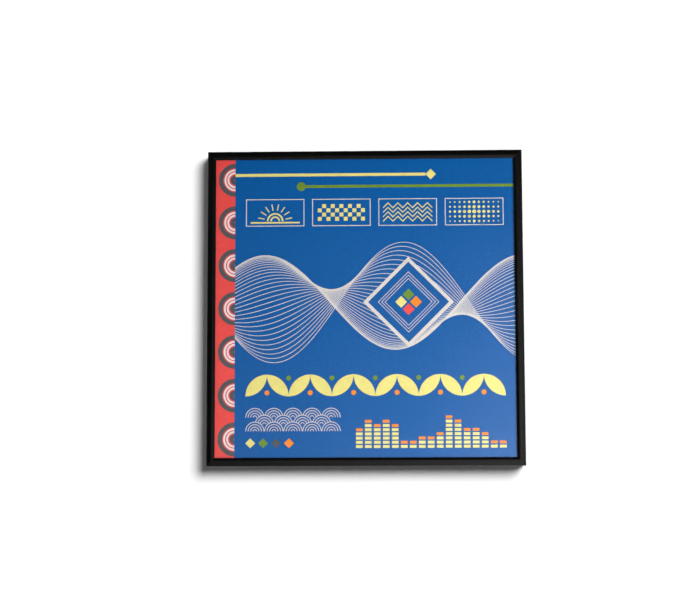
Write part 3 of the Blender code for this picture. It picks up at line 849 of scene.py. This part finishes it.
def print_stripes(inks):
    """Two long stripes at the top, one from each side, that end in a diamond and a disc."""
    half = STRIPE_WIDTH / 2
    high = Sheet("print_stripe_cream", inks["cream"])
    high.area(rectangle(BAND_RIGHT, HIGH_STRIPE - half, HIGH_STRIPE_END, HIGH_STRIPE + half))
    high.area(diamond(HIGH_STRIPE_END + STRIPE_DIAMOND, HIGH_STRIPE, STRIPE_DIAMOND))
    high.finish()
    low = Sheet("print_stripe_green", inks["green"])
    low.area(rectangle(LOW_STRIPE_END, LOW_STRIPE - half, CARD_REACH, LOW_STRIPE + half))
    low.area(disc(LOW_STRIPE_END - STRIPE_DISC, LOW_STRIPE, STRIPE_DISC))
    low.finish()


def print_panels(inks):
    """Outlined panels under the stripes, with a small drawing in each."""
    lines = Sheet("print_panels", inks["off_white"])
    icons = Sheet("print_panel_icons", inks["cream"])
    for k, draw in enumerate((draw_sunrise, draw_chequers, draw_zigzags, draw_dots)):
        left = FIELD_LEFT + k * (PANEL_WIDTH + PANEL_GAP)
        right = left + PANEL_WIDTH
        outer = rectangle(left, PANEL_BOTTOM, right, PANEL_TOP)
        inner = rectangle(
            left + PANEL_LINE, PANEL_BOTTOM + PANEL_LINE, right - PANEL_LINE, PANEL_TOP - PANEL_LINE
        )
        lines.band(outer, inner)
        draw(icons, (left + right) / 2)
    lines.finish()
    icons.finish()


def draw_sunrise(sheet, x):
    z = PANEL_BOTTOM + SUN_RISE
    for radius in SUN_RINGS:
        sheet.half_ring(x, z, radius, radius - SUN_RING_LINE, 0)
    for k in range(SUN_RAYS):
        turn = math.pi * (k + 0.5) / SUN_RAYS
        ray = [(x + r * math.cos(turn), z + r * math.sin(turn)) for r in (SUN_RAY_FROM, SUN_RAY_TO)]
        sheet.line(ray, SUN_RAY_LINE)
    sheet.area(
        rectangle(x - HORIZON_REACH, z - SUN_RING_LINE - PANEL_LINE, x + HORIZON_REACH, z - PANEL_LINE)
    )


def draw_chequers(sheet, x):
    size = CHEQUER - 2 * CHEQUER_TRIM
    for i in range(CHEQUER_COLUMNS):
        for k in range(CHEQUER_ROWS):
            if (i + k) % 2 == 0:
                left = x + (i - CHEQUER_COLUMNS / 2) * CHEQUER + CHEQUER_TRIM
                low = PANEL_MIDDLE + (k - CHEQUER_ROWS / 2) * CHEQUER + CHEQUER_TRIM
                sheet.area(rectangle(left, low, left + size, low + size))


def draw_zigzags(sheet, x):
    for k in range(ZIGZAG_LINES):
        middle = PANEL_MIDDLE + (k - (ZIGZAG_LINES - 1) / 2) * ZIGZAG_PITCH
        points = []
        for i in range(ZIGZAG_TURNS + 1):
            side = 1 if i % 2 else -1
            points.append((x + (i / ZIGZAG_TURNS - 0.5) * ZIGZAG_WIDTH, middle + side * ZIGZAG_HEIGHT / 2))
        low = [(px, pz - ZIGZAG_LINE / 2) for px, pz in points]
        high = [(px, pz + ZIGZAG_LINE / 2) for px, pz in points]
        sheet.band(low, high, closed=False)


def draw_dots(sheet, x):
    """Rows of dots that get smaller away from the middle."""
    across, up = DOT_REACH
    for i in range(-across, across + 1):
        for k in range(-up, up + 1):
            radius = DOT_RADIUS - DOT_SHRINK[0] * abs(i) - DOT_SHRINK[1] * abs(k)
            sheet.area(disc(x + i * DOT_PITCH, PANEL_MIDDLE + k * DOT_PITCH, radius))


def print_waves(inks):
    """A bundle of fine lines that swells and narrows, across the middle."""
    waves = Sheet("print_wave_lines", inks["off_white"])
    for i in range(WAVE_COUNT):
        share = 2 * i / (WAVE_COUNT - 1) - 1
        points = []
        for j in range(WAVE_STEPS + 1):
            along = j / WAVE_STEPS
            turn = 2 * math.pi * WAVE_TURNS * along
            swell = WAVE_SWELL * share * math.cos(turn - WAVE_START)
            sway = WAVE_SWAY * math.sin(turn + WAVE_SWAY_LAG * share)
            points.append((BAND_RIGHT + (CARD_REACH - BAND_RIGHT) * along, WAVE_MIDDLE + swell + sway))
        waves.line(points, WAVE_LINE, raise_by=i * INK_STEP / WAVES_PER_STEP)
    waves.finish()


def print_badge(inks):
    """A thick diamond outline with a blue middle over the lines, and a small pattern in it."""
    x, z = BADGE_X, WAVE_MIDDLE
    middle = Sheet("print_badge_field", inks["blue"], BADGE_FIELD_LAYER)
    middle.area(diamond(x, z, BADGE_REACH - BADGE_LINE / 2))
    middle.finish()
    outline = Sheet("print_badge_outline", inks["off_white"], BADGE_LAYER)
    outline.band(diamond(x, z, BADGE_REACH), diamond(x, z, BADGE_REACH - BADGE_LINE))
    for reach in BADGE_INNER:
        outline.band(diamond(x, z, reach), diamond(x, z, reach - PANEL_LINE))
    outline.finish()
    for name, right, up in BADGE_SPOTS:
        spot = Sheet(f"print_badge_{name}", inks[name], BADGE_LAYER)
        spot.area(diamond(x + right * BADGE_SPOT_AWAY, z + up * BADGE_SPOT_AWAY, BADGE_SPOT))
        spot.finish()


def print_frieze(inks):
    """A row of leaves as tall as a title, which lean left and right by turns, with dots between them."""
    leaves = Sheet("print_leaves", inks["cream"])
    for k in range(FRIEZE_COUNT):
        x = FIELD_LEFT + (2 * k + 1) * FRIEZE_REACH
        leaves.area(leaf(x, FRIEZE_MIDDLE, FRIEZE_REACH, -1 if k % 2 else 1))
    leaves.finish()
    for name, first, side in FRIEZE_DOTS:
        dots = Sheet(f"print_leaf_dots_{name}", inks[name])
        for k in range(first, FRIEZE_COUNT, 2):
            x = FIELD_LEFT + 2 * k * FRIEZE_REACH
            dots.area(disc(x, FRIEZE_MIDDLE + side * FRIEZE_DOT_AWAY, FRIEZE_DOT))
        dots.finish()


def print_bars(inks):
    """A row of stepped columns, such as a level meter, at the lower right."""
    bars = Sheet("print_bars", inks["cream"])
    tips = Sheet("print_bar_tips", inks["orange"])
    for i in range(BAR_COUNT):
        right = FIELD_RIGHT - (BAR_COUNT - 1 - i) * BAR_PITCH
        level = BAR_LEVEL + sum(height * math.sin(i * turn + start) for height, turn, start in BAR_SWINGS)
        blocks = max(BAR_LEAST, round(level))
        for k in range(blocks):
            low = FIELD_BOTTOM + k * BAR_STEP
            target = tips if k == blocks - 1 else bars
            target.area(rectangle(right - BAR_WIDTH, low, right, low + BAR_BLOCK))
    bars.finish()
    tips.finish()


def print_scallops(inks):
    """Rows of overlapping scallops at the lower left, each row in front of the one above it."""
    for row in range(SCALLOP_ROWS):
        layer = SCALLOP_ROW_LAYERS * (SCALLOP_ROWS - row)
        odd = row % 2
        fill = Sheet(f"print_scallop_field_{row}", inks["blue"], layer)
        lines = Sheet(f"print_scallop_lines_{row}", inks["off_white"], layer + SCALLOP_LINE_LAYERS)
        for k in range(SCALLOP_COLUMNS - odd):
            x = FIELD_LEFT + SCALLOP_RADIUS * (2 * k + 1 + odd)
            z = SCALLOP_BASE + row * SCALLOP_RADIUS * SCALLOP_RISE_SHARE
            fill.area(arc(x, z, SCALLOP_RADIUS, 0, 180, HALF_STEPS))
            for share in SCALLOP_RING_SHARES:
                outer = SCALLOP_RADIUS * share
                lines.half_ring(x, z, outer, outer - SCALLOP_LINE, 0)
        fill.finish()
        lines.finish()


def print_spots(inks):
    """Small diamonds in a row under the scallops."""
    for k, name in enumerate(SPOTS):
        spot = Sheet(f"print_spot_{name}", inks[name])
        spot.area(diamond(FIELD_LEFT + SPOT_REACH + k * SPOT_PITCH, FIELD_BOTTOM + SPOT_REACH, SPOT_REACH))
        spot.finish()


def print_card():
    inks = {name: ink(f"ink_{name}", colour) for name, colour in INKS.items()}
    print_band(inks)
    print_stripes(inks)
    print_panels(inks)
    print_waves(inks)
    print_badge(inks)
    print_frieze(inks)
    print_bars(inks)
    print_scallops(inks)
    print_spots(inks)


# studio

def make_camera():
    azimuth = math.radians(CAMERA_AZIMUTH)
    elevation = math.radians(CAMERA_ELEVATION)
    roll = math.radians(CAMERA_ROLL)
    level = Vector((-math.sin(azimuth), math.cos(azimuth), 0))
    forward = math.cos(elevation) * level - math.sin(elevation) * UP
    right = forward.cross(UP).normalized()
    up = right.cross(forward)
    turned_right = math.cos(roll) * right + math.sin(roll) * up
    turned_up = math.cos(roll) * up - math.sin(roll) * right
    data = bpy.data.cameras.new("camera")
    data.sensor_fit = "HORIZONTAL"
    data.sensor_width = SENSOR_WIDTH
    data.lens = CAMERA_LENS
    camera = bpy.data.objects.new("camera", data)
    turn = Matrix((turned_right, turned_up, -forward)).transposed().to_4x4()
    camera.matrix_world = Matrix.Translation(CAMERA_PLACE) @ turn
    bpy.context.scene.collection.objects.link(camera)
    bpy.context.scene.camera = camera


def plane(name, corners, material):
    """A flat backdrop that only the camera sees, so that nothing is mirrored or tinted by it."""
    data = bpy.data.meshes.new(name)
    data.from_pydata(corners, [], [tuple(range(len(corners)))])
    data.materials.append(material)
    thing = bpy.data.objects.new(name, data)
    bpy.context.scene.collection.objects.link(thing)
    thing.visible_diffuse = False
    thing.visible_glossy = False
    thing.visible_transmission = False
    thing.visible_shadow = False
    return thing


def matt(name, level):
    g = Paint(name)
    g.set(color=grey(level), roughness=1.0, specular=0.0)
    return g


def wall_paint():
    """Matt white, and clear from behind so that the back of the frame can be seen."""
    g = matt("wall_paint", WALL_WHITE)
    clear = g.add("ShaderNodeBsdfTransparent")
    behind = g.add("ShaderNodeNewGeometry").outputs["Backfacing"]
    g.mix_in(clear.outputs["BSDF"], behind)
    return g.material


def floor_paint():
    """Pale floor that keeps its tone under any lamp."""
    g = matt("floor_paint", FLOOR_GREY)
    g.put(g.shader.inputs["Emission Color"], grey(1.0))
    g.put(g.shader.inputs["Emission Strength"], FLOOR_GLOW)
    return g.material


def make_stage():
    """A floor below the frame and the wall that it hangs on. Returns the wall."""
    low, high = CAD_BOUNDS
    back = high[1] + WALL_GAP
    floor = low[2] - FLOOR_DROP
    wall_outline = rectangle(-WALL_HALF_WIDTH, floor, WALL_HALF_WIDTH, WALL_TOP)
    floor_outline = rectangle(-FLOOR_REACH, -FLOOR_REACH, FLOOR_REACH, FLOOR_REACH)
    wall = plane("wall", [(x, back, z) for x, z in wall_outline], wall_paint())
    plane("floor", [(x, y, floor) for x, y in floor_outline], floor_paint())
    return wall


def lamp(name, place, size, level):
    """A round lamp that faces the frame's middle and isn't mirrored in it."""
    data = bpy.data.lights.new(name, "AREA")
    data.shape = "DISK"
    data.size = size
    slant = abs(place.y) / place.length
    data.energy = math.pi ** 2 * place.length_squared * level / slant
    thing = bpy.data.objects.new(name, data)
    thing.matrix_world = Matrix.Translation(place) @ place.to_track_quat("Z", "Y").to_matrix().to_4x4()
    thing.visible_camera = False
    thing.visible_glossy = False
    thing.visible_transmission = False
    bpy.context.scene.collection.objects.link(thing)
    return thing


def link_to_wall(thing, wall, link_state):
    """Lets the lamp light the wall alone (INCLUDE), or all but the wall (EXCLUDE)."""
    lit = bpy.data.collections.new(f"{thing.name}_lights")
    lit.objects.link(wall)
    lit.collection_objects[0].light_linking.link_state = link_state
    thing.light_linking.receiver_collection = lit


def make_lights(wall):
    """One lamp throws the wall's shadow and one fills it. The others light the frame and its print."""
    lamp(*FILL_LAMP)
    link_to_wall(lamp(*WALL_LAMP), wall, "INCLUDE")
    for values in FRAME_LAMPS:
        link_to_wall(lamp(*values), wall, "EXCLUDE")


def make_world():
    """White to the eye. Surfaces mirror a soft room: bright low on the right, and dark high or left."""
    world = bpy.data.worlds.new("studio")
    bpy.context.scene.world = world
    g = Graph(world)
    world.cycles_visibility.diffuse = False
    x, y, z = g.parts(g.add("ShaderNodeTexCoord").outputs["Generated"])
    ahead = g.calc("MULTIPLY", g.ramp(x, ROOM_SIDEWAYS), g.ramp(z, ROOM_UPRIGHT))
    aside = g.span(g.calc("ABSOLUTE", x), *ROOM_ASIDE)
    aslant = g.span(g.calc("ABSOLUTE", z), *ROOM_ASLANT)
    front = g.calc("MAXIMUM", ahead, g.calc("MULTIPLY", aside, aslant))
    room = g.blend(g.span(y, *ROOM_TURN), front, g.ramp(z, ROOM_REAR))
    seen = g.add("ShaderNodeLightPath").outputs["Is Camera Ray"]
    g.put(g.tree.nodes["Background"].inputs["Color"], g.blend(seen, room, grey(1.0)))


bpy.context.scene.view_settings.view_transform = "Standard"
make_camera()
make_world()
make_lights(make_stage())
dress_all()
print_card()
